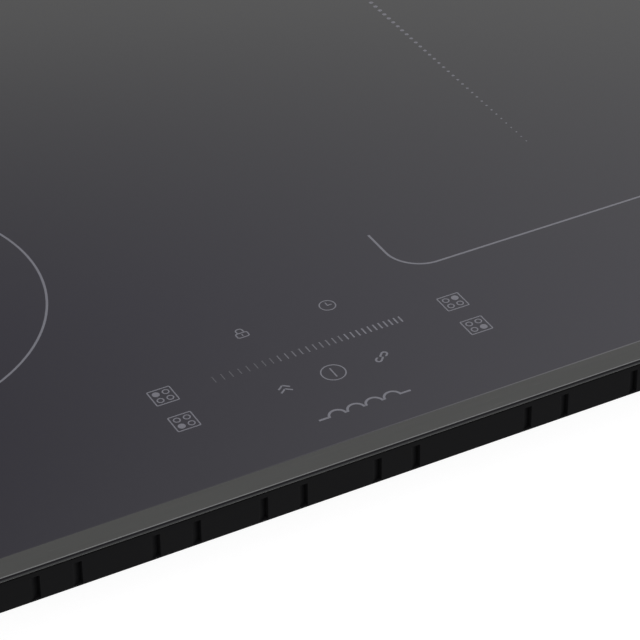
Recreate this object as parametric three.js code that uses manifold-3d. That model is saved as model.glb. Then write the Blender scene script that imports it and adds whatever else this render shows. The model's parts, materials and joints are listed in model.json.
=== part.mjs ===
// Built-in induction hob with a glass top, a grooved plastic base housing and
// four coils, built up piece by piece the way it comes apart on a bench.
// Millimetres, +Z up, origin at the centre of the footprint on the underside.

import * as THREE from 'three';
import { mergeVertices } from 'three/addons/utils/BufferGeometryUtils.js';
import Module from 'manifold-3d';

const wasm = await Module();
wasm.setup();

// ---------------------------------------------------------------- dimensions

const GAP = 0.3;                       // air between pieces that touch in reality

const GLASS = {
  width: 590, depth: 520, thickness: 4, top: 56, corner: 4,
  bevelWidth: 8.4, bevelDrop: 1.7,     // ground facet along the front edge
};

const RIM = {
  inset: 1,                            // behind the glass edge, all round
  top: 51, bottom: 37.5, wall: 4, corner: 7,
  flange: 2.4, lip: 0.8,               // plain bands above and below the grooves
  groove: [[-3.8, 0], [-1.4, 1.3], [0, 2.3]],   // run-in and depth, step at 0
  pair: 16.7,                          // groove spacing inside a pair
  pitch: 48,                           // spacing of the pairs on sides and rear
  frontPairs: [-233, -185, -137.8, -89.7, -45.2, 3.2, 69.5, 118, 166, 214, 262],
};

const SHELF_TOP = 39.5;                // upper face of the ledge inside the rim

const BOX = {                          // deep part that drops into the worktop
  x: 276, front: -214, rear: 243, corner: 14, wall: 2.5, floor: 2.5,
};

const SEAL = { inset: 3.5, width: 9, gasket: 1 };

const NOTCH = { wide: 32, long: 72, height: 9, floor: 2.5 };   // for the clamps
const CLAMP = { reach: 45, width: 14, sheet: 1.5, fromSide: 17, fromEnd: 19, z: 4.5 };

const TRAY = { x: 286, front: -161, rear: 252, z: SHELF_TOP + GAP, sheet: 1.2, corner: 6 };

const COIL = {
  ferrite: 3.3, carrier: 1.5, winding: 3.6, mica: 0.8, margin: 6,
  lip: 1.6, bore: 20, spokes: 8, sensor: 4,
};

const ZONES = [                        // round zones: r; square ones: hx, hy
  { name: 'front_left', x: -151.3, y: -82.5, r: 80 },
  { name: 'rear_left', x: -151.3, y: 133, r: 90 },
  { name: 'front_right', x: 153, y: -67.4, hx: 95, hy: 97.4 },
  { name: 'rear_right', x: 153, y: 127.4, hx: 95, hy: 97.4 },
];

const BOARD = { z: 10, sheet: 1.6, x0: 20, x1: 240, front: -55, rear: 150 };
const SINK = { x: 122, width: 44, front: -48, rear: 132, top: 34, fins: 8, fin: 1.8, base: 4 };
const FAN = { x: 122, y: -108, r: 44, wall: 2, z0: 2.9, z1: 26, wheel: 35, blades: 16, mouth: 52 };

const COMPARTMENT = { x0: 120, x1: 236, front: 172, ceiling: 30, wall: 2 };
const LID = { sheet: 2, z: 0.9, pin: 1, play: 0.3, edge: 1.2 };
const INLET = { x: 178, width: 14, z0: 4, z1: 18 };
const CABLE_CLAMP = { half: 15, y0: 224, y1: 235, saddle: 18, bar: 10.3, thick: 2.5 };

const CONTROL = { x: 112, front: -242, rear: -165.5, top: 50.4, board: 44 };

// ------------------------------------------------------------------- helpers

function box(x0, x1, y0, y1, z0, z1) {
  const g = new THREE.BoxGeometry(x1 - x0, y1 - y0, z1 - z0);
  return g.translate((x0 + x1) / 2, (y0 + y1) / 2, (z0 + z1) / 2);
}

function roundedRect(x0, x1, y0, y1, r, Kind = THREE.Shape) {
  const s = new Kind();
  s.moveTo(x0 + r, y0);
  s.lineTo(x1 - r, y0);
  s.absarc(x1 - r, y0 + r, r, -Math.PI / 2, 0);
  s.lineTo(x1, y1 - r);
  s.absarc(x1 - r, y1 - r, r, 0, Math.PI / 2);
  s.lineTo(x0 + r, y1);
  s.absarc(x0 + r, y1 - r, r, Math.PI / 2, Math.PI);
  s.lineTo(x0, y0 + r);
  s.absarc(x0 + r, y0 + r, r, Math.PI, 1.5 * Math.PI);
  return s;
}

function circle(x, y, r, Kind = THREE.Shape) {
  const s = new Kind();
  s.absarc(x, y, r, 0, 2 * Math.PI);
  return s;
}

function slab(shape, z0, z1, curveSegments = 6) {
  const g = new THREE.ExtrudeGeometry(shape, { depth: z1 - z0, bevelEnabled: false, curveSegments });
  return g.translate(0, 0, z0);
}

function post(x, y, r, z0, z1, sides = 12) {
  const g = new THREE.CylinderGeometry(r, r, z1 - z0, sides).rotateX(Math.PI / 2);
  return g.translate(x, y, (z0 + z1) / 2);
}

// Profile in (radius, height) turned round the vertical axis through x, y.
function turned(x, y, profile, segments = 32) {
  const points = profile.map(([r, z]) => new THREE.Vector2(r, z));
  return new THREE.LatheGeometry(points, segments).rotateX(Math.PI / 2).translate(x, y, 0);
}

function toSolid(geometry) {
  const g = geometry.clone();
  g.deleteAttribute('normal');
  g.deleteAttribute('uv');
  const merged = mergeVertices(g, 1e-4);
  return new wasm.Manifold(new wasm.Mesh({
    numProp: 3,
    vertProperties: new Float32Array(merged.attributes.position.array),
    triVerts: new Uint32Array(merged.index.array),
  }));
}

function toGeometry(solid) {
  const mesh = solid.getMesh();
  const g = new THREE.BufferGeometry();
  g.setAttribute('position', new THREE.BufferAttribute(new Float32Array(mesh.vertProperties), 3));
  g.setIndex(new THREE.BufferAttribute(new Uint32Array(mesh.triVerts), 1));
  g.computeVertexNormals();
  return g;
}

// Joins the first list of geometries and cuts the second list out of them.
function carve(add, cut = []) {
  let solid = add.map(toSolid).reduce((a, b) => a.add(b));
  for (const c of cut) solid = solid.subtract(toSolid(c));
  return toGeometry(solid);
}

// ----------------------------------------------------------------- materials

const finish = (color, roughness, metalness = 0) =>
  new THREE.MeshStandardMaterial({ color, roughness, metalness });

const MATERIALS = {
  glass: () => finish(0x17171a, 0.08),
  housing: () => finish(0x16171a, 0.55),
  foam: () => finish(0x0c0c0d, 0.95),
  aluminium: () => finish(0xb9bcc0, 0.45, 1),
  steel: () => finish(0xa9acb0, 0.35, 1),
  copper: () => finish(0x9a4d26, 0.45, 1),
  ferrite: () => finish(0x2c2c2f, 0.7),
  mica: () => finish(0xc9c3b2, 0.6),
  carrier: () => finish(0xd8d6cf, 0.6),
  board: () => finish(0x1f5b34, 0.5),
  plastic: () => finish(0x202124, 0.5),
  lamp: () => finish(0xe9e9e6, 0.4),
  lead: () => finish(0xb04a2a, 0.6),
  part: () => finish(0x2b3a6b, 0.4),
};

const hob = new THREE.Group();

function piece(name, geometry, material) {
  const mesh = new THREE.Mesh(geometry, MATERIALS[material]());
  mesh.name = name;
  hob.add(mesh);
  return mesh;
}

// ----------------------------------------------------------------- glass top

{
  const { width, depth, thickness, top, corner, bevelWidth, bevelDrop } = GLASS;
  const sheet = slab(roundedRect(-width / 2, width / 2, -depth / 2, depth / 2, corner), top - thickness, top, 4);
  const wedge = new THREE.Shape([
    new THREE.Vector2(-depth / 2 - 1, top + 1),
    new THREE.Vector2(-depth / 2 - 1, top - bevelDrop - bevelDrop / bevelWidth),
    new THREE.Vector2(-depth / 2 + bevelWidth, top),
    new THREE.Vector2(-depth / 2 + bevelWidth, top + 1),
  ].reverse());
  const cutter = new THREE.ExtrudeGeometry(wedge, { depth: width + 2, bevelEnabled: false });
  // The wedge is drawn in (Y, Z) and runs along X.
  cutter.applyMatrix4(new THREE.Matrix4().makeBasis(
    new THREE.Vector3(0, 1, 0), new THREE.Vector3(0, 0, 1), new THREE.Vector3(1, 0, 0)));
  cutter.translate(-width / 2 - 1, 0, 0);
  piece('glass_top', carve([sheet], [cutter]), 'glass');
}

const halfX = GLASS.width / 2 - RIM.inset;
const halfY = GLASS.depth / 2 - RIM.inset;
const glassUnder = GLASS.top - GLASS.thickness;

// --------------------------------------------------------------- base housing

// A saw-tooth groove in the skirt: it runs in slowly and steps out sharply.
// Drawn in plan at the origin, with the wall's face along X and depth along Y.
function groove(z1) {
  const plan = new THREE.Shape([
    ...RIM.groove.map(([x, d]) => new THREE.Vector2(x, d)),
    new THREE.Vector2(0, -1), new THREE.Vector2(RIM.groove[0][0], -1),
  ]);
  return slab(plan, RIM.bottom + RIM.lip, z1);
}

function grooveEdges(pairs, half) {
  return pairs.flatMap((c) => [c - RIM.pair / 2, c + RIM.pair / 2])
    .filter((x) => Math.abs(x) < half - 12);
}

function regularPairs(half) {
  const out = [];
  const n = Math.floor((half - 20) / RIM.pitch);
  for (let i = -n; i <= n; i++) out.push(i * RIM.pitch);
  return out;
}

const notches = [];
for (const sx of [-1, 1]) {
  for (const end of ['front', 'rear']) {
    const outer = BOX[end];
    const inward = end === 'front' ? 1 : -1;
    notches.push({
      name: `${end}_${sx < 0 ? 'left' : 'right'}`, sx, inward, outer,
      pivot: [sx * (BOX.x - CLAMP.fromSide), outer + inward * CLAMP.fromEnd],
    });
  }
}

function notchBox({ sx, inward, outer }, grow, z1, out = 2) {
  const xs = [sx * (BOX.x - NOTCH.wide - grow), sx * (BOX.x + out)].sort((a, b) => a - b);
  const ys = [outer + inward * (NOTCH.long + grow), outer - inward * out].sort((a, b) => a - b);
  return box(xs[0], xs[1], ys[0], ys[1], -1, z1);
}

const inlet = { x0: INLET.x - INLET.width / 2, x1: INLET.x + INLET.width / 2 };
const lidPivot = { y: COMPARTMENT.front + 2, z: LID.z + LID.sheet / 2 };

{
  const rim = slab(roundedRect(-halfX, halfX, -halfY, halfY, RIM.corner), RIM.bottom, RIM.top, 4);
  const deep = slab(roundedRect(-BOX.x, BOX.x, BOX.front, BOX.rear, BOX.corner), 0, RIM.bottom + 1, 4);
  const rimHollow = slab(roundedRect(-halfX + RIM.wall, halfX - RIM.wall, -halfY + RIM.wall, halfY - RIM.wall,
    RIM.corner - RIM.wall), SHELF_TOP, RIM.top + 1, 4);
  const w = BOX.wall;
  let hollow = toSolid(slab(roundedRect(-BOX.x + w, BOX.x - w, BOX.front + w, BOX.rear - w, BOX.corner - w),
    BOX.floor, SHELF_TOP + 1, 4));
  for (const n of notches) hollow = hollow.subtract(toSolid(notchBox(n, w, NOTCH.height + NOTCH.floor)));

  const c = COMPARTMENT;
  const chamber = toSolid(box(c.x0 - c.wall, c.x1 + c.wall, c.front - c.wall, BOX.rear - w + 1, 0, c.ceiling + c.wall));
  hollow = hollow.subtract(chamber);

  let shell = toSolid(rim).add(toSolid(deep)).subtract(toSolid(rimHollow)).subtract(hollow);
  for (const n of notches) shell = shell.subtract(toSolid(notchBox(n, 0, NOTCH.height)));

  // Terminal compartment, open below, with a saddle for the mains cable.
  shell = shell.subtract(toSolid(box(c.x0, c.x1, c.front, BOX.rear - w, -1, c.ceiling)));
  const k = CABLE_CLAMP;
  shell = shell.add(toSolid(box(INLET.x - k.half, INLET.x + k.half, k.y0, k.y1, k.saddle, c.ceiling + 0.5)));
  for (const s of [-1, 1]) {
    shell = shell.subtract(toSolid(post(INLET.x + s * (k.half - 4), (k.y0 + k.y1) / 2, 1.9, k.saddle - 1, k.saddle + 9)));
    const socket = new THREE.CylinderGeometry(LID.pin + LID.play, LID.pin + LID.play, 1.7, 12).rotateZ(Math.PI / 2);
    const x = s < 0 ? c.x0 - 0.8 : c.x1 + 0.8;
    shell = shell.subtract(toSolid(socket.translate(x, lidPivot.y, lidPivot.z)));
  }
  shell = shell.subtract(toSolid(box(inlet.x0, inlet.x1, BOX.rear - w - 1, BOX.rear + 1, INLET.z0, INLET.z1)));

  // Paired grooves in the skirt.
  const z1 = RIM.top - RIM.flange;
  const faces = [
    { turn: 0, out: halfY, edges: grooveEdges(RIM.frontPairs, halfX) },
    { turn: Math.PI, out: halfY, edges: grooveEdges(regularPairs(halfX), halfX) },
    { turn: Math.PI / 2, out: halfX, edges: grooveEdges(regularPairs(halfY), halfY) },
    { turn: -Math.PI / 2, out: halfX, edges: grooveEdges(regularPairs(halfY), halfY) },
  ];
  for (const { turn, out, edges } of faces) {
    for (const x of edges) {
      shell = shell.subtract(toSolid(groove(z1).translate(x, -out, 0).rotateZ(turn)));
    }
  }

  // Air intake grilles under the fans and outlet slots in the walls.
  for (const s of [-1, 1]) {
    for (let i = -4; i <= 4; i++) {
      const half = Math.sqrt(29 ** 2 - (i * 6) ** 2);
      shell = shell.subtract(toSolid(box(s * FAN.x + i * 6 - 1.6, s * FAN.x + i * 6 + 1.6,
        FAN.y - half, FAN.y + half, -1, BOX.floor + 1)));
    }
    for (let i = 0; i < 9; i++) {
      const x = s * 190 + (i - 4) * 9;
      if (s < 0) shell = shell.subtract(toSolid(box(x - 1.6, x + 1.6, BOX.rear - w - 1, BOX.rear + 1, 16, 32)));
      shell = shell.subtract(toSolid(box(x - 1.6, x + 1.6, BOX.front - 1, BOX.front + w + 1, 16, 32)));
    }
  }

  // Bosses that carry the circuit boards.
  for (const s of [-1, 1]) {
    for (const x of [BOARD.x0 + 8, BOARD.x1 - 8]) {
      for (const y of [BOARD.front + 8, BOARD.rear - 8]) {
        shell = shell.add(toSolid(post(s * x, y, 4, BOX.floor - 0.5, BOARD.z - GAP, 8)));
      }
    }
  }
  for (const x of [-62, 92]) shell = shell.add(toSolid(post(x, 200, 4, BOX.floor - 0.5, BOARD.z - GAP, 8)));

  piece('base_housing', toGeometry(shell), 'housing');
}

// ---------------------------------------------------------------------- seals

function frameRing(hx, hy, width, corner, z0, z1, cy = 0) {
  const s = roundedRect(-hx, hx, cy - hy, cy + hy, corner);
  s.holes.push(roundedRect(-hx + width, hx - width, cy - hy + width, cy + hy - width,
    Math.max(corner - width, 2), THREE.Path));
  return slab(s, z0, z1, 4);
}

piece('glass_seal', frameRing(halfX - 1, halfY - 1, RIM.wall - 1, RIM.corner, RIM.top, glassUnder), 'foam');
{
  // The gasket runs round the cut-out, between the deep box and the skirt.
  const s = roundedRect(-halfX + SEAL.inset, halfX - SEAL.inset, -halfY + SEAL.inset, halfY - SEAL.inset, 6);
  s.holes.push(roundedRect(-halfX + SEAL.inset + SEAL.width, halfX - SEAL.inset - SEAL.width,
    -halfY + SEAL.inset + SEAL.width, halfY - SEAL.inset - SEAL.width, 4, THREE.Path));
  piece('worktop_gasket', slab(s, RIM.bottom - SEAL.gasket, RIM.bottom, 4), 'foam');
}

// ---------------------------------------------------------------- coil system

const trayTop = TRAY.z + TRAY.sheet;
const ferriteZ = trayTop + GAP;
const carrierZ = ferriteZ + COIL.ferrite + GAP;
const windingZ = carrierZ + COIL.carrier + GAP;
const micaZ = windingZ + COIL.winding + GAP;

{
  const s = roundedRect(-TRAY.x, TRAY.x, TRAY.front, TRAY.rear, TRAY.corner);
  for (const z of ZONES) s.holes.push(roundedRect(z.x - 26, z.x + 26, z.y - 9, z.y + 9, 4, THREE.Path));
  for (const x of [-20, 20]) s.holes.push(roundedRect(x - 12, x + 12, -120, -40, 5, THREE.Path));
  piece('coil_tray', slab(s, TRAY.z, trayTop, 1), 'aluminium');
}

// Outline of a zone's disc or rounded square, drawn in from its printed size.
function zoneOutline(z, inset, Kind = THREE.Shape) {
  if (z.r) return circle(z.x, z.y, z.r - inset, Kind);
  const hx = z.hx - inset, hy = z.hy - inset;
  return roundedRect(z.x - hx, z.x + hx, z.y - hy, z.y + hy, Math.max(38 - inset, 10), Kind);
}

// Curve steps are the same on every piece of a zone, so that they nest.
const zoneSteps = (z) => (z.r ? 16 : 4);

function zoneRing(z, inset, bore, z0, z1) {
  const s = zoneOutline(z, inset);
  s.holes.push(circle(z.x, z.y, bore, THREE.Path));
  return slab(s, z0, z1, zoneSteps(z));
}

for (const z of ZONES) {
  const reach = z.r ?? z.hx;

  // Carrier: a disc with windows between its spokes, a lip and four feet.
  const edge = COIL.margin - COIL.lip - GAP;
  const lip = zoneOutline(z, edge);
  lip.holes.push(zoneOutline(z, COIL.margin - GAP, THREE.Path));
  const windows = [];
  const inner = COIL.bore + 4, outer = reach - COIL.margin - 8;
  for (let i = 0; i < COIL.spokes; i++) {
    const mid = (i + 0.5) * 2 * Math.PI / COIL.spokes;
    const wide = Math.PI / COIL.spokes - 4.4 / inner;
    const wideOut = Math.PI / COIL.spokes - 5 / outer;
    const hole = new THREE.Shape();
    hole.absarc(z.x, z.y, outer, mid - wideOut, mid + wideOut, false);
    hole.absarc(z.x, z.y, inner, mid + wide, mid - wide, true);
    windows.push(slab(hole, carrierZ - 1, carrierZ + COIL.carrier + 1, 3));
  }
  const feet = [];
  for (let i = 0; i < 4; i++) {
    const a = (i + 0.5) * Math.PI / 2 + Math.PI / 8;
    const r = reach - COIL.margin - 4;
    feet.push(post(z.x + r * Math.cos(a), z.y + r * Math.sin(a), 3.5, trayTop + GAP, carrierZ + 0.5, 8));
  }
  piece(`coil_carrier_${z.name}`, carve([
    slab(zoneOutline(z, edge), carrierZ, carrierZ + COIL.carrier, zoneSteps(z)),
    slab(lip, carrierZ + COIL.carrier / 2, windingZ + COIL.winding - 0.6, zoneSteps(z)),
    ...feet,
  ], [...windows, post(z.x, z.y, COIL.sensor + GAP, 30, 60)]), 'carrier');

  piece(`coil_winding_${z.name}`, zoneRing(z, COIL.margin, COIL.bore, windingZ, windingZ + COIL.winding), 'copper');
  piece(`mica_sheet_${z.name}`, zoneRing(z, COIL.margin - 2, COIL.sensor + 1, micaZ, micaZ + COIL.mica), 'mica');

  // Ferrite bars lie under the spokes, joined at the middle by a thin ring.
  const bars = [];
  for (let i = 0; i < COIL.spokes; i++) {
    const bar = box(COIL.bore - 2, reach - COIL.margin - 12, -5, 5, ferriteZ, ferriteZ + COIL.ferrite);
    bars.push(bar.rotateZ(i * 2 * Math.PI / COIL.spokes).translate(z.x, z.y, 0));
  }
  const hub = circle(z.x, z.y, COIL.bore + 3);
  hub.holes.push(circle(z.x, z.y, COIL.bore - 2, THREE.Path));
  bars.push(slab(hub, ferriteZ + 1, ferriteZ + COIL.ferrite, 6));
  piece(`ferrite_star_${z.name}`, carve(bars), 'ferrite');

  piece(`temperature_sensor_${z.name}`,
    post(z.x, z.y, COIL.sensor, carrierZ + 0.2, glassUnder - GAP, 12), 'plastic');
}

// --------------------------------------------------- power electronics and fans

for (const [side, s] of [['left', -1], ['right', 1]]) {
  const xs = (a, b) => [s * a, s * b].sort((p, q) => p - q);

  const [bx0, bx1] = xs(BOARD.x0, BOARD.x1);
  piece(`power_board_${side}`, box(bx0, bx1, BOARD.front, BOARD.rear, BOARD.z, BOARD.z + BOARD.sheet), 'board');

  const boardTop = BOARD.z + BOARD.sheet + GAP;
  const half = SINK.width / 2;
  const comb = [[-half, boardTop], [half, boardTop]];
  const step = (SINK.width - SINK.fin) / (SINK.fins - 1);
  for (let i = SINK.fins - 1; i >= 0; i--) {
    const x = -half + i * step;
    comb.push([x + SINK.fin, SINK.top], [x, SINK.top]);
    if (i) comb.push([x, boardTop + SINK.base], [x - step + SINK.fin, boardTop + SINK.base]);
  }
  const profile = new THREE.Shape(comb.map(([x, z]) => new THREE.Vector2(x, z)));
  const sink = new THREE.ExtrudeGeometry(profile, { depth: SINK.rear - SINK.front, bevelEnabled: false });
  sink.rotateX(Math.PI / 2).translate(s * SINK.x, SINK.rear, 0);
  piece(`heat_sink_${side}`, sink, 'aluminium');

  const [qx0, qx1] = xs(SINK.x - half - 6, SINK.x - half - 1);
  piece(`power_transistors_${side}`, box(qx0, qx1, 10, 60, boardTop, boardTop + 18), 'plastic');
  piece(`bus_capacitor_${side}`, box(...xs(52, 78), 80, 122, boardTop, boardTop + 21), 'part');
  piece(`resonance_capacitor_${side}`, box(...xs(170, 196), -30, 22, boardTop, boardTop + 20), 'part');

  // Radial fan: a scroll casing blowing rearward into the fins.
  const cx = s * FAN.x, cy = FAN.y;
  const scroll = (grow) => {
    const shape = new THREE.Shape();
    const r = FAN.r - grow;
    shape.moveTo(cx - r, cy + FAN.mouth);
    shape.lineTo(cx - r, cy);
    shape.absarc(cx, cy, r, Math.PI, 2 * Math.PI);
    shape.lineTo(cx + r, cy + FAN.mouth);
    return shape;
  };
  piece(`fan_casing_${side}`, carve([
    carve([slab(scroll(0), FAN.z0, FAN.z1, 12)], [
      slab(scroll(FAN.wall), FAN.z0 + FAN.wall, FAN.z1 - FAN.wall, 12),
      box(cx - FAN.r + FAN.wall, cx + FAN.r - FAN.wall, cy + 40, cy + 60, FAN.z0 + FAN.wall, FAN.z1 - FAN.wall),
      post(cx, cy, 28, FAN.z0 - 1, FAN.z0 + FAN.wall + 1, 32),
    ]),
    post(cx, cy, 10, 13, FAN.z1 - 1, 20),
  ]), 'plastic');

  const z0 = FAN.z0 + FAN.wall + 1.2, z1 = FAN.z1 - FAN.wall - 1.2;
  const wheel = [turned(cx, cy, [
    [0, z0 + 2], [13, z0 + 2], [13, z1 - 1.6], [FAN.wheel, z1 - 1.6], [FAN.wheel, z1], [11, z1], [11, z0 + 4], [0, z0 + 4],
  ], 20)];
  for (let i = 0; i < FAN.blades; i++) {
    const blade = box(FAN.wheel - 9, FAN.wheel - 0.5, -0.6, 0.6, z0, z1 - 0.8);
    wheel.push(blade.translate(-FAN.wheel, 0, 0).rotateZ(0.45).translate(FAN.wheel, 0, 0)
      .rotateZ(i * 2 * Math.PI / FAN.blades).translate(cx, cy, 0));
  }
  const band = circle(cx, cy, FAN.wheel - 0.4);
  band.holes.push(circle(cx, cy, FAN.wheel - 3, THREE.Path));
  wheel.push(slab(band, z0, z0 + 1.2, 12));
  piece(`fan_wheel_${side}`, carve(wheel), 'plastic');
}

// -------------------------------------------------- mains filter and terminals

{
  const top = BOARD.z + BOARD.sheet + GAP;
  piece('filter_board', box(-70, 100, 165, 232, BOARD.z, BOARD.z + BOARD.sheet), 'board');
  const core = [];
  for (let i = 0; i <= 8; i++) {
    const a = (i / 8) * 2 * Math.PI;
    core.push([15 + 6 * Math.cos(a), top + 8 + 7.8 * Math.sin(a)]);
  }
  piece('filter_choke', turned(-36, 198, core, 18), 'copper');
  piece('filter_capacitor', box(4, 34, 182, 214, top, top + 20), 'part');
  piece('mains_fuse', box(56, 80, 178, 186, top, top + 8), 'lamp');

  const c = COMPARTMENT;
  const block = [box(136, 220, 184, 206, 14, c.ceiling - GAP)];
  const recesses = [];
  for (let i = 0; i < 6; i++) {
    recesses.push(post(143 + i * 14, 191, 3, 13, 19, 8));
    recesses.push(box(139.5 + i * 14, 146.5 + i * 14, 197, 207, 17, 24));
  }
  piece('terminal_block', carve(block, recesses), 'lamp');

  // Lid with a pin at each end of its front edge, and a finger notch behind.
  const { y, z } = lidPivot;
  const lid = [box(c.x0 + 0.4, c.x1 - 0.4, y - LID.edge, BOX.rear - BOX.wall - 0.4, LID.z, LID.z + LID.sheet)];
  for (const s of [-1, 1]) {
    const pin = new THREE.CylinderGeometry(LID.pin, LID.pin, 2.7, 12).rotateZ(Math.PI / 2);
    lid.push(pin.translate(s < 0 ? c.x0 : c.x1, y, z));
  }
  piece('terminal_lid', carve(lid, [box(INLET.x - 9, INLET.x + 9, BOX.rear - BOX.wall - 5, BOX.rear, -1, 4)]), 'plastic');

  const k = CABLE_CLAMP;
  const ky = (k.y0 + k.y1) / 2;
  const screwAt = [['left', INLET.x - k.half + 4], ['right', INLET.x + k.half - 4]];
  piece('cable_clamp_bar', carve([box(INLET.x - k.half, INLET.x + k.half, k.y0, k.y1, k.bar, k.bar + k.thick)],
    screwAt.map(([, x]) => post(x, ky, 1.8, 0, 20))), 'plastic');
  for (const [side, x] of screwAt) {
    piece(`cable_clamp_screw_${side}`, carve([
      post(x, ky, 3, k.bar - GAP - 1.8, k.bar - GAP, 12),
      post(x, ky, 1.5, k.bar - 1, k.saddle + 5, 12),
    ]), 'steel');
  }
}

// ------------------------------------------------------------- worktop clamps

for (const n of notches) {
  const { z, sheet, width, reach } = CLAMP;
  const [px, py] = n.pivot;
  const w = width / 2;
  const d = n.inward;
  const span = (a, b) => [py + d * a, py + d * b].sort((p, q) => p - q);
  const [y0, y1] = span(-w, reach);
  const [t0, t1] = span(reach - sheet, reach);
  piece(`worktop_clamp_${n.name}`, carve([
    box(px - w, px + w, y0, y1, z, z + sheet),
    box(px - w, px + w, t0, t1, z, NOTCH.height - 0.6),
  ], [post(px, py, 2.6, 0, NOTCH.height, 12)]), 'steel');
  piece(`clamp_screw_${n.name}`, carve([
    post(px, py, 4.5, z - GAP - 2.4, z - GAP, 12),
    post(px, py, 2, z - 1, NOTCH.height - GAP, 12),
  ]), 'steel');
}

// ---------------------------------------------------------------- control unit

{
  const { x, front, rear, top, board } = CONTROL;
  const z0 = SHELF_TOP + GAP;
  const bosses = [[-90, -225], [90, -225], [-90, -182], [90, -182]];
  piece('control_carrier', carve([
    carve([slab(roundedRect(-x, x, front, rear, 4), z0, top, 3)],
      [box(-x + 2, x - 2, front + 2, rear - 2, z0 + 1.5, top + 1)]),
    ...bosses.map(([bx, by]) => post(bx, by, 3.5, z0 + 1, board - GAP, 8)),
  ], [box(-34, -14, rear - 3, rear + 1, z0 + 1.7, board + 2)]), 'plastic');
  piece('control_board', box(-x + 3, x - 3, front + 3, rear - 3, board, board + 1.6), 'board');

  // Light guide: a white block with a well under the slider and the keys.
  const wells = [box(-44, 44, -198, -189, board + 3, 60), box(-8, 8, -220, -203, board + 3, 60)];
  for (const s of [-1, 1]) wells.push(box(s * 64.4 - 8, s * 64.4 + 8, -220, -184, board + 3, 60));
  piece('light_guide', carve([box(-82, 82, -224, -180, board + 1.6 + GAP, 51.2)], wells), 'lamp');

  // Flat cable: out of the carrier, down past the tray and over to the boards.
  const path = [[-172, 42.9], [-162.7, 42.9], [-162.7, 13], [-57, 13], [-57, 12.2], [-163.5, 12.2], [-163.5, 42.1], [-172, 42.1]];
  const strip = new THREE.ExtrudeGeometry(new THREE.Shape(path.map(([y, z]) => new THREE.Vector2(y, z))),
    { depth: 12, bevelEnabled: false });
  strip.applyMatrix4(new THREE.Matrix4().makeBasis(
    new THREE.Vector3(0, 1, 0), new THREE.Vector3(0, 0, 1), new THREE.Vector3(1, 0, 0)));
  piece('control_ribbon', strip.translate(-30, 0, 0), 'lead');
}

export default hob;
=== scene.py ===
"""Looks of a built-in induction hob: black glass with printed marks on a plastic base."""

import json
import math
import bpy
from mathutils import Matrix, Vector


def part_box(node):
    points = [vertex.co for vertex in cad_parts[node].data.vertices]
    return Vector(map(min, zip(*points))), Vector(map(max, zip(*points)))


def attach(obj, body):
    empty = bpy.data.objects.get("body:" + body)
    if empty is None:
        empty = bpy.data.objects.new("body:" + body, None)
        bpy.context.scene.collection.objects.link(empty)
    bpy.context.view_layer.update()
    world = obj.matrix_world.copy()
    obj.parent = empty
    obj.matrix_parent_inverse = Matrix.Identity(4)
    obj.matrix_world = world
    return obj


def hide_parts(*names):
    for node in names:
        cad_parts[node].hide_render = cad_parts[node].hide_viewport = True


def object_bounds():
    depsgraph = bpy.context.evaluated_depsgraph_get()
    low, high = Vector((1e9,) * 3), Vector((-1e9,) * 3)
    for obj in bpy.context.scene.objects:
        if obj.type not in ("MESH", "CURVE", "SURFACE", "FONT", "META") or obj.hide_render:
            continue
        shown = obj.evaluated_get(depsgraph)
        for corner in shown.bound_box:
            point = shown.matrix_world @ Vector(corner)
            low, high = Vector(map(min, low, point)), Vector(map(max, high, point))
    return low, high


bl_info = {
    "name": "Induction Hob",
    "version": (1, 0, 0),
    "blender": (4, 5, 0),
    "location": "3D View > Sidebar > Hob",
    "description": "Builds the visible pieces and finishes of a built-in induction hob",
    "category": "Object",
}

import bmesh
import bpy
from bpy.props import FloatProperty, FloatVectorProperty, PointerProperty
from mathutils import Euler, Matrix, Vector

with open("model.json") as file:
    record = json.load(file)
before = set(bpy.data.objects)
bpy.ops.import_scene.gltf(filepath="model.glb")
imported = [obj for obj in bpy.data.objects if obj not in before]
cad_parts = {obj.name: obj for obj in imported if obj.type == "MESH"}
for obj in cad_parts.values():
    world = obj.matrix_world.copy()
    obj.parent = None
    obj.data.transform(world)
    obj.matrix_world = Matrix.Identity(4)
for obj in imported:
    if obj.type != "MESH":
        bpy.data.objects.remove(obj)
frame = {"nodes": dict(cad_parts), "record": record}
CAD_BOX = [list(corner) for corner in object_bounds()]
MM = 0.001


# --------------------------------------------------------------------- settings


def length(name, description, default):
    """A size. Its default is given in millimetres and kept in metres."""
    return FloatProperty(
        name=name, description=description, default=default * MM, min=0.0, precision=5,
        unit="LENGTH",
    )


def angle(name, description, default):
    """An angle. Its default is given in degrees and kept in radians."""
    return FloatProperty(
        name=name, description=description, default=math.radians(default), subtype="ANGLE"
    )


def spot(name, description, default):
    """A place in metres."""
    return FloatVectorProperty(
        name=name, description=description, default=default, subtype="XYZ", unit="LENGTH"
    )


def colour(name, description, default):
    """A linear colour without alpha."""
    return FloatVectorProperty(
        name=name, description=description, default=default, size=3, subtype="COLOR",
        min=0.0, max=1.0,
    )


def share(name, description, default):
    """A plain number from nought to one."""
    return FloatProperty(
        name=name, description=description, default=default, min=0.0, max=1.0, subtype="FACTOR"
    )


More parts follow.
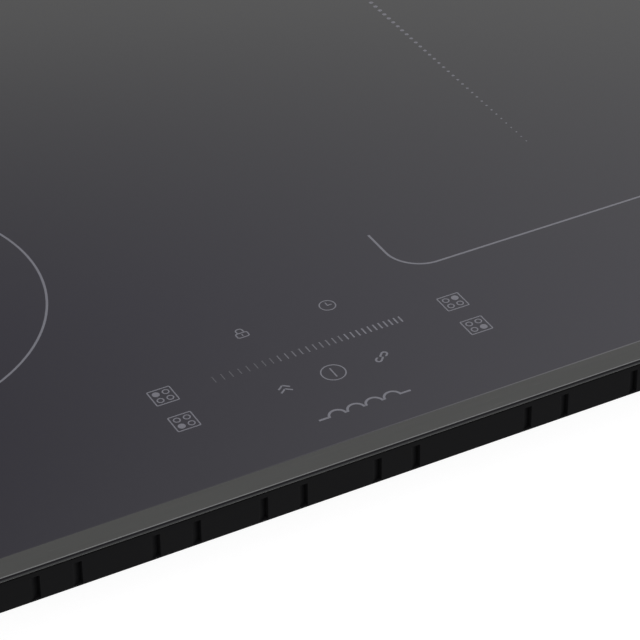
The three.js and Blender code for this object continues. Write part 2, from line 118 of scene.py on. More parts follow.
class HobStudio(bpy.types.PropertyGroup):
    """Camera, floor and lights"""

    camera_place: spot("Camera", "Where the camera stands", (-0.4493, -1.0509, 0.7605))
    yaw: angle("Yaw", "Turn of the view towards +X", 27.860)
    pitch: angle("Pitch", "Tilt of the view downwards", 35.513)
    roll: angle("Roll", "Roll of the camera", 0.759)
    lens: FloatProperty(
        name="Lens", description="Focal length in millimetres", default=171.89, unit="CAMERA"
    )
    floor: colour("Floor", "Colour of the floor", (0.22, 0.22, 0.22))
    floor_glow: share("Floor glow", "Light that the floor gives off itself", 0.93)
    floor_gap: length("Floor gap", "Air between the base's underside and the floor", 0.3)
    room: FloatProperty(name="Room", description="Light of the room straight ahead", default=0.794)
    window: FloatProperty(
        name="Window", description="Light of the pale window on the right", default=1.5
    )
    cast: FloatVectorProperty(
        name="Cast", description="Green taken from the room's light, and blue added to it",
        default=(0.022, 0.090), size=2,
    )
    key_place: spot("Key light", "Where the key light stands", (-1.4, -1.5, 2.0))
    key_size: length("Key light size", "Side of the square key light", 1600.0)
    key_power: FloatProperty(
        name="Key light power", description="Power of the key light", default=14.0, unit="POWER"
    )


class HobGlass(bpy.types.PropertyGroup):
    """Glass top"""

    tint: colour("Glass", "Colour of the black glass", (0.0022, 0.0021, 0.0026))
    facet_tint: colour("Facet", "Colour of the ground front facet", (0.0466, 0.0478, 0.0424))
    arris_tint: colour("Arris", "Colour of the ground edges", (0.105, 0.107, 0.102))
    # Painted reflection: the pale band low on the glass's upright edge stands in for the bright
    # floor that the polished edge mirrors.
    edge_painted_reflection: colour(
        "Upright edge", "Colour of the glass's upright edge, low down", (0.036, 0.037, 0.037)
    )
    polish: share("Polish", "Roughness of the polished faces", 0.035)
    facet_polish: share("Facet polish", "Roughness of the ground facet", 0.24)
    arris: length("Arris radius", "Radius of the glass's ground edges", 0.24)
    facet_width: length("Facet width", "Width of the front facet", 8.4)
    facet_drop: length("Facet drop", "Fall of the front facet", 1.7)
    corner: length("Corner", "Radius of the corners in plan", 4.0)


class HobInk(bpy.types.PropertyGroup):
    """Printed marks"""

    ink: colour("Ink", "Colour of the printed marks", (0.101, 0.102, 0.112))
    depth: length("Ink depth", "How far the print stands on the glass", 0.04)
    zone_stroke: length("Zone stroke", "Line width of the zone outlines", 1.0)
    key_stroke: length("Key stroke", "Line width of the zone keys", 0.54)
    dot_pitch: length("Dot pitch", "Spacing of the dots down the bridged zone", 4.18)
    dot_small: length("End dot", "Radius of the last dot", 0.36)
    dot_large: length("Middle dot", "Radius of the middle dot", 1.08)


class HobPlastics(bpy.types.PropertyGroup):
    """Moulded parts and seals"""

    housing: colour("Housing", "Colour of the base housing", (0.0047, 0.0047, 0.0049))
    black: colour("Black parts", "Colour of the other black mouldings", (0.016, 0.016, 0.018))
    foam: colour("Foam", "Colour of the seals", (0.0016, 0.0016, 0.0017))
    carrier: colour("Coil carriers", "Colour of the coil carriers", (0.50, 0.48, 0.43))
    lamp: colour("Light guide", "Colour of the light guide", (0.80, 0.80, 0.78))
    ceramic: colour("Terminals", "Colour of the terminal block", (0.72, 0.70, 0.64))
    edge: length("Edge radius", "Radius on moulded edges", 0.22)
    thin_edge: length("Thin edge radius", "Radius on the seals and the fan blades", 0.15)
    clamp_edge: length("Clamp edge radius", "Radius on the cable clamp", 0.5)


class HobMetals(bpy.types.PropertyGroup):
    """Metal parts, windings and ferrites"""

    aluminium: colour("Aluminium", "Colour of the tray and the heat sinks", (0.60, 0.61, 0.62))
    steel: colour("Steel", "Colour of the zinc-plated parts", (0.55, 0.56, 0.57))
    copper: colour("Copper", "Colour of the enamelled windings", (0.42, 0.15, 0.055))
    ferrite: colour("Ferrite", "Colour of the ferrite bars", (0.045, 0.045, 0.05))
    edge: length("Edge radius", "Radius on cut edges", 0.2)
    screw_edge: length("Screw edge radius", "Radius on the worktop clamps' screws", 0.4)
    small_screw_edge: length("Small screw edge radius", "Radius on the cable clamp's screws", 0.3)
    bore: length("Bore", "Radius of the hole through a winding", 20.0)


class HobBoards(bpy.types.PropertyGroup):
    """Boards, capacitors, mica sheets and flat cable"""

    board: colour("Board", "Colour of the circuit boards", (0.018, 0.11, 0.045))
    pad: colour("Pads", "Colour of the tinned pads", (0.55, 0.55, 0.53))
    case: colour("Capacitors", "Colour of the capacitor cases", (0.045, 0.07, 0.20))
    mica: colour("Mica", "Colour of the mica sheets", (0.52, 0.47, 0.36))
    ribbon: colour("Ribbon", "Colour of the flat cable", (0.42, 0.42, 0.44))
    edge: length("Board edge radius", "Radius on the boards' edges", 0.15)
    sheet_edge: length("Sheet edge radius", "Radius on the mica sheets and the flat cable", 0.1)
    case_edge: length("Case edge radius", "Radius on the capacitors and the fuse", 1.0)


SETTINGS = {
    "hob_studio": HobStudio,
    "hob_glass": HobGlass,
    "hob_ink": HobInk,
    "hob_plastics": HobPlastics,
    "hob_metals": HobMetals,
    "hob_boards": HobBoards,
}


def setting(name):
    return getattr(bpy.context.scene, name)


# ---------------------------------------------------------------------- shading

NOISE_REACH = (0.3, 0.7)              # where nearly all of a noise's values lie
GLASS_IOR = 1.5
BOX_PAINTED_LIGHT = 3.1                       # painted light: the deep box is painted so many times paler than the skirt
MIX_FIRST, MIX_SECOND, MIX_RESULT = 6, 7, 2  # a Mix node's colour sockets


class Value:
    """A node's output with arithmetic: each operator adds one Math node."""

    def __init__(self, graph, socket):
        self.graph = graph
        self.socket = socket

    def math(self, operation, first, second):
        return self.graph.node("ShaderNodeMath", {"operation": operation}, {0: first, 1: second})

    def __add__(self, other):
        return self.math("ADD", self, other)

    def __radd__(self, other):
        return self.math("ADD", other, self)

    def __sub__(self, other):
        return self.math("SUBTRACT", self, other)

    def __rsub__(self, other):
        return self.math("SUBTRACT", other, self)

    def __mul__(self, other):
        return self.math("MULTIPLY", self, other)

    def __rmul__(self, other):
        return self.math("MULTIPLY", other, self)

    def __lt__(self, other):
        return self.math("LESS_THAN", self, other)


class Graph:
    """The node tree of one material or world."""

    def __init__(self, tree):
        self.tree = tree
        tree.nodes.clear()

    def node(self, kind, settings=None, inputs=None, output=0):
        """Adds a node: its settings first, then the values or links of its sockets."""
        made = self.tree.nodes.new(kind)
        for key, value in (settings or {}).items():
            setattr(made, key, value)
        for key, value in (inputs or {}).items():
            if isinstance(value, Value):
                self.tree.links.new(value.socket, made.inputs[key])
            else:
                made.inputs[key].default_value = value
        return Value(self, made.outputs[output]) if made.outputs else made

    def place(self, scale=(1.0, 1.0, 1.0)):
        """Object coordinates in metres, times scale along X, Y and Z."""
        coordinates = self.node("ShaderNodeTexCoord", output="Object")
        return self.node("ShaderNodeMapping", {}, {"Vector": coordinates, "Scale": scale})

    def height(self):
        return self.node("ShaderNodeSeparateXYZ", {}, {"Vector": self.place()}, output="Z")

    def noise(self, scale, detail=2.0, roughness=0.5):
        """Even noise for one scale, or noise drawn out along an axis for three."""
        even = isinstance(scale, float)
        return self.node("ShaderNodeTexNoise", {}, {
            "Vector": self.place() if even else self.place(scale),
            "Scale": scale if even else 1.0,
            "Detail": detail,
            "Roughness": roughness,
        })

    def cells(self, scale, randomness=1.0):
        """Distance to the nearest of scattered points."""
        return self.node(
            "ShaderNodeTexVoronoi", {},
            {"Vector": self.place(), "Scale": scale, "Randomness": randomness},
        )

    def flakes(self, scale):
        """Cells of one grey each."""
        tones = self.node(
            "ShaderNodeTexVoronoi", {}, {"Vector": self.place(), "Scale": scale}, output="Color"
        )
        return self.node("ShaderNodeSeparateColor", {}, {"Color": tones})

    def mix(self, factor, first, second, blend="MIX"):
        """A colour between two others, each a plain colour or a node's output."""
        first, second = (
            end if isinstance(end, Value) else (*end, 1.0) for end in (first, second)
        )
        return self.node(
            "ShaderNodeMix", {"data_type": "RGBA", "blend_type": blend},
            {"Factor": factor, MIX_FIRST: first, MIX_SECOND: second}, output=MIX_RESULT,
        )

    def varied(self, factor, tone, low, high):
        """A tone that runs from low to high times itself."""
        return self.mix(factor, scaled(tone, low), scaled(tone, high))

    def spread(self, value, low, high, out_low=0.0, out_high=1.0):
        """Maps low to high onto out_low to out_high, and stops at both ends."""
        return self.node("ShaderNodeMapRange", {}, {
            "Value": value, "From Min": low, "From Max": high,
            "To Min": out_low, "To Max": out_high,
        })

    def across(self, noise, low, high):
        """Low to high over the values that a noise takes."""
        return self.spread(noise, *NOISE_REACH, low, high)

    def held(self, value, low, high, middle=0.0):
        """How far a value is from the middle, kept between low and high."""
        return self.spread(value, middle + low, middle + high, low, high)

    def bump(self, height, distance):
        return self.node(
            "ShaderNodeBump", {}, {"Height": height, "Distance": distance, "Strength": 1.0}
        )


def scaled(tone, factor):
    return tuple(min(1.0, c * factor) for c in tone)


def finish(name, build, **constants):
    """A Principled material. build returns the inputs that vary over the surface."""
    known = bpy.data.materials.get(name)
    if known:
        return known
    material = bpy.data.materials.new(name)
    material.use_nodes = True
    graph = Graph(material.node_tree)
    inputs = {key.replace("_", " "): value for key, value in constants.items()}
    inputs.update(build(graph))
    shader = graph.node("ShaderNodeBsdfPrincipled", {}, inputs)
    graph.node("ShaderNodeOutputMaterial", {}, {"Surface": shader})
    return material


def black_glass():
    s = setting("hob_glass")

    def build(g):
        haze = g.noise(9.0, 3.0)
        return {
            "Base Color": g.varied(g.noise(420.0), s.tint, 1.0, 1.7),
            "Roughness": g.spread(haze, 0.35, 0.7, s.polish * 0.7, s.polish * 1.6),
        }

    return finish("black glass", build, IOR=GLASS_IOR)


def ground_facet():
    s = setting("hob_glass")

    def build(g):
        along = g.noise((40.0, 900.0, 900.0), 3.0)
        smear = g.noise((9.0, 60.0, 60.0))
        return {
            "Base Color": g.varied(along * 0.4 + smear * 0.6, s.facet_tint, 0.84, 1.16),
            "Roughness": g.across(along, s.facet_polish * 0.85, s.facet_polish * 1.15),
        }

    return finish("ground glass facet", build, IOR=GLASS_IOR, Specular_IOR_Level=0.14)


def ground_arris():
    s = setting("hob_glass")

    def build(g):
        chips = g.noise((1200.0, 2600.0, 2600.0), 3.0, 0.6)
        return {
            "Base Color": g.varied(chips, s.arris_tint, 0.75, 1.25),
            "Roughness": g.across(chips, 0.4, 0.6),
            "Normal": g.bump(chips, 0.01 * MM),
        }

    return finish("ground glass arris", build, Specular_IOR_Level=0.30)


def glass_edge():
    """The upright edge: dark above, a paler band low down that is a painted reflection of the
    bright floor, and a near-black strip at the very bottom that is painted shade.
    """
    s = setting("hob_glass")
    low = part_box("glass_top")[0].z

    def build(g):
        height = g.height()
        lower = g.spread(height, low + 0.15 * MM, low + 0.4 * MM)
        upper = g.spread(height, low + 0.75 * MM, low + 1.15 * MM, 1.0, 0.0)
        along = g.noise((60.0, 60.0, 2400.0), 3.0)
        # Painted shade: just above the underside the edge is 0.4 times the glass's tint, a shadow
        # line by the seam. Higher up it is 2.6 times that tint.
        dark = g.varied(lower, s.tint, 0.4, 2.6)
        # Painted reflection: from about 0.15 to 1.15 mm above the underside, fullest from 0.4 to
        # 0.75 mm, the edge takes the pale reflection colour.
        tone = g.mix(lower * upper, dark, s.edge_painted_reflection)
        streaks = g.mix(along, (0.6, 0.6, 0.6), (1.0, 1.0, 1.0))
        return {
            "Base Color": g.mix(0.5, tone, streaks, "MULTIPLY"),
            "Roughness": g.across(along, 0.12, 0.22),
        }

    return finish("glass edge", build, Specular_IOR_Level=0.05)


def ink(strength):
    tone = scaled(setting("hob_ink").ink, strength)

    def build(g):
        grain = g.noise(3200.0)
        return {
            "Base Color": g.varied(grain, tone, 0.88, 1.12),
            "Roughness": g.across(grain, 0.26, 0.36),
        }

    return finish(f"printed ink {strength:.2f}", build, IOR=GLASS_IOR)


def spark_texture(g, grain=900.0):
    """The fine texture of a moulded face, and the faint cloudy patches on it."""
    return g.noise(grain, 3.0, 0.6), g.noise(22.0, 3.0)


def moulded(name, tone, roughness, grain=900.0, sheen=0.5):
    """Moulded plastic with a fine spark-eroded texture and faint cloudy patches."""

    def build(g):
        fine, cloud = spark_texture(g, grain)
        return {
            "Base Color": g.varied(cloud, tone, 0.86, 1.14),
            "Roughness": g.across(cloud * 0.5 + fine * 0.5, roughness - 0.06, roughness + 0.06),
            "Normal": g.bump(fine, 0.02 * MM),
        }

    return finish(name, build, Specular_IOR_Level=sheen)


def black_plastic():
    return moulded("black moulding", setting("hob_plastics").black, 0.46, 700.0, 0.3)


def housing_plastic():
    # Painted light: the terminal lid takes the deep box's painted paler tone.
    tone = scaled(setting("hob_plastics").housing, BOX_PAINTED_LIGHT)
    return moulded("housing plastic", tone, 0.5, sheen=0.02)


def rim_plastic():
    """Housing plastic: a dark skirt, a box painted paler as painted light on its deep parts, and
    painted shade in the line just under the glass.
    """
    tone = setting("hob_plastics").housing
    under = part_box("glass_seal")[0].z
    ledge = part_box("worktop_gasket")[1].z

    def build(g):
        height = g.height()
        fine, cloud = spark_texture(g)
        scuffs = g.noise((14.0, 14.0, 900.0), 4.0, 0.6)
        blotch = cloud * 0.5 + scuffs * 0.5
        skirt = g.varied(blotch, tone, 0.8, 1.2)
        # Painted light: below the ledge the same moulding is painted 3.1 times paler, standing in
        # for light on the deep box.
        box = g.varied(blotch, tone, BOX_PAINTED_LIGHT * 0.8, BOX_PAINTED_LIGHT * 1.2)
        seen = g.mix(g.spread(height, ledge - 1.0 * MM, ledge), box, skirt)
        # Painted shade: the rim's top, within half a millimetre of the glass seal, is darkened to
        # a quarter of the skirt's tone.
        shade = g.spread(height, under - 0.5 * MM, under - 0.25 * MM)
        return {
            "Base Color": g.mix(shade, seen, scaled(tone, 0.25)),
            "Roughness": g.across(cloud * 0.5 + fine * 0.5, 0.44, 0.56),
            "Normal": g.bump(fine, 0.02 * MM),
        }

    return finish("rim plastic", build, Specular_IOR_Level=0.02)


def foam():
    tone = setting("hob_plastics").foam

    def build(g):
        cells = g.cells(1600.0)
        return {
            "Base Color": g.varied(cells, tone, 0.6, 1.6),
            "Roughness": g.spread(cells, 0.0, 0.6, 0.85, 1.0),
            "Normal": g.bump(cells, 0.12 * MM),
        }

    return finish("closed-cell foam", build, Specular_IOR_Level=0.0)


def metal(name, tone, roughness, stretch):
    """Metal with drawn or rolled lines; stretch says how fine they are along X, Y and Z."""

    def build(g):
        lines = g.noise(stretch, 4.0, 0.65)
        cloud = g.noise(30.0, 3.0)
        return {
            "Base Color": g.varied(cloud, tone, 0.86, 1.1),
            "Roughness": g.across(lines * 0.6 + cloud * 0.4, roughness - 0.08, roughness + 0.1),
            "Normal": g.bump(lines, 0.006 * MM),
        }

    return finish(name, build, Metallic=1.0)


def zinc():
    tone = setting("hob_metals").steel

    def build(g):
        spangle = g.flakes(520.0)
        fine = g.noise(1500.0, 3.0)
        return {
            "Base Color": g.varied(spangle, tone, 0.8, 1.12),
            "Roughness": g.spread(spangle * 0.5 + fine * 0.5, 0.2, 0.8, 0.26, 0.44),
            "Normal": g.bump(fine, 0.008 * MM),
        }

    return finish("zinc-plated steel", build, Metallic=1.0)


def winding():
    tone = setting("hob_metals").copper

    def build(g):
        strands = g.noise(2400.0, 3.0, 0.7)
        cloud = g.noise(60.0)
        return {
            "Base Color": g.varied(strands * 0.6 + cloud * 0.4, tone, 0.55, 1.25),
            "Roughness": g.across(strands, 0.34, 0.55),
            "Normal": g.bump(strands, 0.18 * MM),
        }

    return finish("enamelled stranded wire", build, Metallic=0.75)


def mica():
    tone = setting("hob_boards").mica

    def build(g):
        flakes = g.flakes(260.0)
        return {
            "Base Color": g.varied(flakes, tone, 0.72, 1.18),
            "Roughness": g.spread(flakes, 0.0, 1.0, 0.35, 0.62),
            "Normal": g.bump(flakes, 0.03 * MM),
        }

    return finish("pressed mica", build)


def sintered():
    tone = setting("hob_metals").ferrite

    def build(g):
        grain = g.noise(1800.0, 4.0, 0.7)
        return {
            "Base Color": g.varied(grain, tone, 0.6, 1.5),
            "Roughness": g.across(grain, 0.5, 0.72),
            "Normal": g.bump(grain, 0.05 * MM),
        }

    return finish("sintered ferrite", build)


def circuit():
    """Lacquered board with tracks under the lacquer and scattered tinned pads."""
    s = setting("hob_boards")

    def build(g):
        blocks = g.node("ShaderNodeTexBrick", {"offset": 0.37}, {
            "Vector": g.place((210.0, 210.0, 0.0)), "Scale": 1.0, "Mortar Size": 0.035,
            "Color1": (0.0, 0.0, 0.0, 1.0), "Color2": (0.35, 0.35, 0.35, 1.0),
            "Mortar": (1.0, 1.0, 1.0, 1.0),
        })
        tracks = g.node("ShaderNodeSeparateColor", {}, {"Color": blocks})
        pads = g.cells(170.0, 0.55) < 0.16
        return {
            "Base Color": g.mix(pads, g.varied(tracks, s.board, 1.0, 1.9), s.pad),
            "Metallic": pads,
            "Roughness": g.spread(pads, 0.0, 1.0, 0.3, 0.38),
            "Normal": g.bump(tracks + pads, 0.04 * MM),
        }

    return finish("lacquered circuit board", build)


def capacitor_case():
    tone = setting("hob_boards").case

    def build(g):
        cloud = g.noise(90.0, 3.0)
        return {
            "Base Color": g.varied(cloud, tone, 0.85, 1.15),
            "Roughness": g.across(cloud, 0.16, 0.3),
            "Normal": g.bump(cloud, 0.04 * MM),
        }

    return finish("capacitor case", build)


def flat_cable():
    tone = setting("hob_boards").ribbon

    def build(g):
        wires = g.node("ShaderNodeTexWave", {}, {"Vector": g.place(), "Scale": 250.0})
        return {
            "Base Color": g.varied(wires, tone, 0.6, 1.1),
            "Roughness": g.spread(wires, 0.0, 1.0, 0.4, 0.6),
            "Normal": g.bump(wires, 0.3 * MM),
        }

    return finish("flat cable", build)


# --------------------------------------------------------------------- modelling

BROAD_FACE = 300 * MM * MM            # larger faces are shaded flat
CREASE = 30.0                         # edges that turn by more degrees are sharp
SAME_PLACE = 0.001 * MM               # vertices closer than this are one
SAME_PLANE = 0.5                      # faces that meet within these degrees are one
WIRE_PITCH = 2.06                     # from turn to turn of a coil, in wire radii
WIRE_STEPS = 60                       # points in one turn of a coil


def make_piece(name, bm, body, materials, crease=CREASE):
    """Turns a finished bmesh, in metres, into a piece that rides on a body."""
    mesh = bpy.data.meshes.new(name)
    bm.to_mesh(mesh)
    bm.free()
    for material in materials:
        mesh.materials.append(material)
    mesh.shade_smooth()
    mesh.set_sharp_from_angle(angle=math.radians(crease))
    for polygon in mesh.polygons:
        if polygon.area > BROAD_FACE:
            polygon.use_smooth = False
    piece = bpy.data.objects.new(name, mesh)
    bpy.context.scene.collection.objects.link(piece)
    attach(piece, body)
    return piece


def body_of(node):
    for body, nodes in frame["record"]["behaviour"]["bodies"].items():
        if node in nodes:
            return body
    raise RuntimeError(f"no body holds {node}")


def stand_in(node, bm, materials, crease=CREASE):
    """Makes a bmesh into the piece that stands for a CAD node."""
    piece = make_piece(f"{node}_finish", bm, body_of(node), materials, crease)
    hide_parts(node)


def round_edges(bm, edges, radius, segments):
    bmesh.ops.bevel(
        bm, geom=edges, offset=radius, offset_type="OFFSET", affect="EDGES", segments=segments,
        profile=0.5, material=-1, clamp_overlap=True,
    )


def sharp_edges(bm, crease):
    limit = math.radians(crease)
    return [e for e in bm.edges if len(e.link_faces) == 2 and e.calc_face_angle(0.0) > limit]


def refined(node, material, edge, segments=2, crease=CREASE):
    """A finer copy of a CAD node, with a small radius on its sharp edges."""
    bm = bmesh.new()
    bm.from_mesh(frame["nodes"][node].data)
    bmesh.ops.remove_doubles(bm, verts=bm.verts, dist=SAME_PLACE)
    bmesh.ops.dissolve_limit(
        bm, angle_limit=math.radians(SAME_PLANE), verts=bm.verts, edges=bm.edges,
        use_dissolve_boundaries=False,
    )
    if edge:
        round_edges(bm, sharp_edges(bm, crease), edge, segments)
    stand_in(node, bm, [material])


def wire_path(centre, half, wire):
    """Points of a flat spiral that grows from the bore to the outline of the coil."""
    inner = setting("hob_metals").bore + wire
    wide, deep = half.x - wire, half.y - wire
    power = 2.0 if abs(wide - deep) < 0.1 * MM else 5.0    # a circle, or a rounded square
    count = WIRE_STEPS * int((wide - inner) / (WIRE_PITCH * wire))
    points = []
    for i in range(count + 1):
        c, s = math.cos(math.tau * i / WIRE_STEPS), math.sin(math.tau * i / WIRE_STEPS)
        outer = (abs(c / wide) ** power + abs(s / deep) ** power) ** (-1 / power)
        radius = inner + (outer - inner) * i / count
        points.append((centre.x + radius * c, centre.y + radius * s, centre.z, 1.0))
    return points


def wound_coil(zone):
    """Replaces a winding with a spiral of stranded wire in the same space."""
    node = f"coil_winding_{zone}"
    low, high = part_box(node)
    half = (high - low) / 2
    wire = half.z
    points = wire_path((low + high) / 2, half, wire)

    curve = bpy.data.curves.new("wire", "CURVE")
    curve.dimensions = "3D"
    curve.bevel_depth = wire * 0.98
    curve.bevel_resolution = 2
    curve.use_fill_caps = True
    spline = curve.splines.new("POLY")
    spline.points.add(len(points) - 1)
    for point, place in zip(spline.points, points):
        point.co = place
    scratch = bpy.data.objects.new("wire", curve)
    bpy.context.scene.collection.objects.link(scratch)
    bpy.context.view_layer.update()
    evaluated = scratch.evaluated_get(bpy.context.evaluated_depsgraph_get())
    solid = bpy.data.meshes.new_from_object(evaluated)
    bpy.data.objects.remove(scratch)
    bpy.data.curves.remove(curve)

    bm = bmesh.new()
    bm.from_mesh(solid)
    bpy.data.meshes.remove(solid)
    bmesh.ops.remove_doubles(bm, verts=bm.verts, dist=SAME_PLACE / 10)
    bmesh.ops.recalc_face_normals(bm, faces=bm.faces[:])
    stand_in(node, bm, [winding()], 50.0)


class Flat:
    """One flat shape, drawn in millimetres round its own centre."""

    def __init__(self, bm):
        self.bm = bm

    @classmethod
    def disc(cls, radius, segments):
        bm = bmesh.new()
        bmesh.ops.create_circle(bm, cap_ends=True, radius=radius, segments=segments)
        return cls(bm)

    @classmethod
    def panel(cls, width, height, corner=0.0, steps=4):
        bm = bmesh.new()
        bmesh.ops.create_grid(bm, x_segments=1, y_segments=1, size=0.5)
        bmesh.ops.scale(bm, vec=(width, height, 1.0), verts=bm.verts)
        if corner:
            bmesh.ops.bevel(
                bm, geom=list(bm.verts), offset=corner, offset_type="OFFSET", affect="VERTICES",
                segments=steps, profile=0.5, material=-1,
            )
        return cls(bm)

    def hollow(self, stroke):
        """Keeps only a line of this width along the inside of the outline."""
        inner = list(self.bm.faces)
        bmesh.ops.inset_region(
            self.bm, faces=inner, thickness=stroke, use_boundary=True, use_even_offset=True
        )
        bmesh.ops.delete(self.bm, geom=inner, context="FACES")
        return self

    def trim(self, place, away):
        """Cuts off what lies beyond a line through place, on the side that away points to."""
        bmesh.ops.bisect_plane(
            self.bm, geom=self.bm.verts[:] + self.bm.edges[:] + self.bm.faces[:],
            plane_co=(*place, 0.0), plane_no=(*away, 0.0), clear_outer=True,
        )
        return self

    def at(self, x, y, turn=0.0):
        """Turns the shape by so many degrees, and then moves it."""
        turned = Matrix.Rotation(math.radians(turn), 4, "Z")
        move = Matrix.Translation((x, y, 0.0)) @ turned
        bmesh.ops.transform(self.bm, matrix=move, verts=self.bm.verts)
        return self


def printed(name, shapes, strength=1.0):
    """Makes one piece of ink from flat shapes placed in the hob's plan, in millimetres."""
    group = bmesh.new()
    for shape in shapes:
        scratch = bpy.data.meshes.new("scratch")
        shape.bm.to_mesh(scratch)
        shape.bm.free()
        group.from_mesh(scratch)
        bpy.data.meshes.remove(scratch)
    # Half of the ink's thickness is sunk in the glass, so no face lies in the glass's own.
    thickness = 2.0 * setting("hob_ink").depth
    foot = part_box("glass_top")[1].z - thickness
    bmesh.ops.scale(group, vec=(MM, MM, MM), verts=group.verts)
    bmesh.ops.translate(group, vec=(0.0, 0.0, foot), verts=group.verts)
    raised = bmesh.ops.extrude_face_region(group, geom=group.faces[:], use_keep_orig=True)
    lifted = [part for part in raised["geom"] if isinstance(part, bmesh.types.BMVert)]
    bmesh.ops.translate(group, vec=(0.0, 0.0, thickness), verts=lifted)
    bmesh.ops.recalc_face_normals(group, faces=group.faces[:])
    make_piece(name, group, "hob", [ink(strength)])


# ---------------------------------------- where the marks are on the hob, in mm

FRONT_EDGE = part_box("glass_top")[0].y / MM
REAR_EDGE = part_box("glass_top")[1].y / MM

BADGE_X, BADGE_LINE = 0.5, FRONT_EDGE + 23.6
KEY_LINE = FRONT_EDGE + 48.6          # power key and the front zones' keys
KEY_STEP = 18.4                       # from those up to the rear zones' keys
KEY_OUT = 64.4                        # zone keys left and right of the middle
BOOST_X, BRIDGE_KEY_X = -21.4, 21.3
SLIDER_LINE = FRONT_EDGE + 66.9
UPPER_LINE = FRONT_EDGE + 88.9        # lock and timer
LOCK_X, TIMER_X = -19.5, 19.4

ZONE_LEFT = -151.3
ZONES = (                             # name, middle in Y, radius
    ("front_left", FRONT_EDGE + 177.5, 80.0),
    ("rear_left", REAR_EDGE - 127.0, 90.0),
)
BRIDGE_X, BRIDGE_Y = 153.0, 30.0
BRIDGE_WIDE, BRIDGE_LONG = 190.0, 390.0
BRIDGE_CORNER, BRIDGE_LEG = 15.5, 30.2
DOTS_Y = BRIDGE_Y - 0.55
DOTS_REACH = BRIDGE_LONG / 2 - 60.5   # last dots from the middle one, at most

SLIDER_FIRST, SLIDER_STEP = -42.6, 3.81
SLIDER_SHRINK = 0.9805                # each step is this much of the one before it
SLIDER_BANDS = (("low", 0.36, 8), ("middle", 0.68, 10), ("high", 1.0, 11))
LINE_LONG, LINE_THIN, LINE_BOLD = 4.0, 0.46, 0.70


# ---------------------------------- the room that the glass mirrors, by direction

ROOM_SIDE = 0.14                      # the light changes so far to the left and right
ROOM_MIDDLE = 0.575                   # height that the glass round the keys mirrors
ROOM_LOW, ROOM_HIGH = -0.08, 0.07     # the light changes so far below and above it
RIGHTWARDS, UPWARDS = 1.87, 0.2       # how fast the light grows
CORNERWARDS, OUTWARDS = 15.9, 37.0    # the same, to the upper right, and up and down alike
WINDOW_SIDE = (0.02, 0.13)            # where the window begins and is brightest
WINDOW_FOOT, WINDOW_HEAD = (0.655, 0.685), (0.74, 0.77)

SENSOR_WIDTH = 36.0                   # mm
FAR_CLIP = 20.0                       # m
FLOOR_REACH = 6.0                     # m


# --------------------------------------------------------------------- operators


class HOB_OT_stage(bpy.types.Operator):
    """Floor, room light, key light and camera"""

    bl_idname = "hob.stage"
    bl_label = "Stage"
    bl_options = {"REGISTER", "UNDO"}

    def execute(self, context):
        context.scene.view_settings.view_transform = "Standard"
        s = setting("hob_studio")
        self.camera(context.scene, s)
        self.floor(context.scene, s)
        self.room(context.scene, s)
        self.key_light(context.scene, s)
        return {"FINISHED"}

    def camera(self, scene, s):
        view = bpy.data.cameras.new("camera")
        view.lens, view.sensor_width, view.clip_end = s.lens, SENSOR_WIDTH, FAR_CLIP
        camera = bpy.data.objects.new("camera", view)
        look = Euler((math.pi / 2 - s.pitch, 0.0, -s.yaw)).to_matrix()
        turn = look @ Matrix.Rotation(-s.roll, 3, "Z")
        camera.matrix_world = Matrix.Translation(s.camera_place) @ turn.to_4x4()
        scene.collection.objects.link(camera)
        scene.camera = camera

    def floor(self, scene, s):
        bm = bmesh.new()
        bmesh.ops.create_grid(bm, x_segments=8, y_segments=8, size=FLOOR_REACH)
        level = CAD_BOX[0][2] - s.floor_gap
        bmesh.ops.translate(bm, vec=(0.0, 0.0, level), verts=bm.verts)
        mesh = bpy.data.meshes.new("floor")
        bm.to_mesh(mesh)
        bm.free()
        floor = bpy.data.objects.new("floor", mesh)
        scene.collection.objects.link(floor)

        def lit(g):
            grain = g.noise(40.0)
            return {
                "Base Color": g.varied(grain, s.floor, 0.985, 1.015),
                "Roughness": g.spread(grain, 0.0, 1.0, 0.75, 0.85),
            }

        mesh.materials.append(finish(
            "lit floor", lit,
            Emission_Color=(1.0, 1.0, 1.0, 1.0), Emission_Strength=s.floor_glow,
        ))

    def room(self, scene, s):
        """Brighter to the right, and both low and high, with a violet cast that fades low down."""
        room = bpy.data.worlds.new("room")
        scene.world = room
        room.use_nodes = True
        g = Graph(room.node_tree)
        sky = g.node("ShaderNodeTexCoord", output="Generated")
        rightwards = (math.cos(s.yaw), -math.sin(s.yaw), 0.0)
        side = g.node(
            "ShaderNodeVectorMath", {"operation": "DOT_PRODUCT"}, {0: sky, 1: rightwards},
            output="Value",
        )
        height = g.node("ShaderNodeSeparateXYZ", {}, {"Vector": sky}, output="Z")
        u = g.held(side, -ROOM_SIDE, ROOM_SIDE)
        h = g.held(height, ROOM_LOW, ROOM_HIGH, ROOM_MIDDLE)
        level = s.room + RIGHTWARDS * u + CORNERWARDS * (u * h) + OUTWARDS * (h * h) + UPWARDS * h

        # A pale window, high on the right, that only the glass's front arris mirrors.
        above_foot = g.spread(height, *WINDOW_FOOT)
        under_head = g.spread(height, *WINDOW_HEAD, 1.0, 0.0)
        level = level + s.window * (g.spread(side, *WINDOW_SIDE) * above_foot * under_head)

        less_green, more_blue = s.cast
        cast = g.spread(h, ROOM_LOW, 0.0)
        tone = g.node("ShaderNodeCombineColor", {}, {
            "Red": level, "Green": level - less_green * cast, "Blue": level + more_blue * cast,
        })
        light = g.node("ShaderNodeBackground", {}, {"Color": tone, "Strength": 1.0})
        g.node("ShaderNodeOutputWorld", {}, {"Surface": light})

    def key_light(self, scene, s):
        lamp = bpy.data.lights.new("key", "AREA")
        lamp.energy, lamp.shape, lamp.size = s.key_power, "SQUARE", s.key_size
        key = bpy.data.objects.new("key", lamp)
        place = Vector(s.key_place)
        aim = (-place).to_track_quat("-Z", "Y")
        key.matrix_world = Matrix.Translation(place) @ aim.to_matrix().to_4x4()
        scene.collection.objects.link(key)


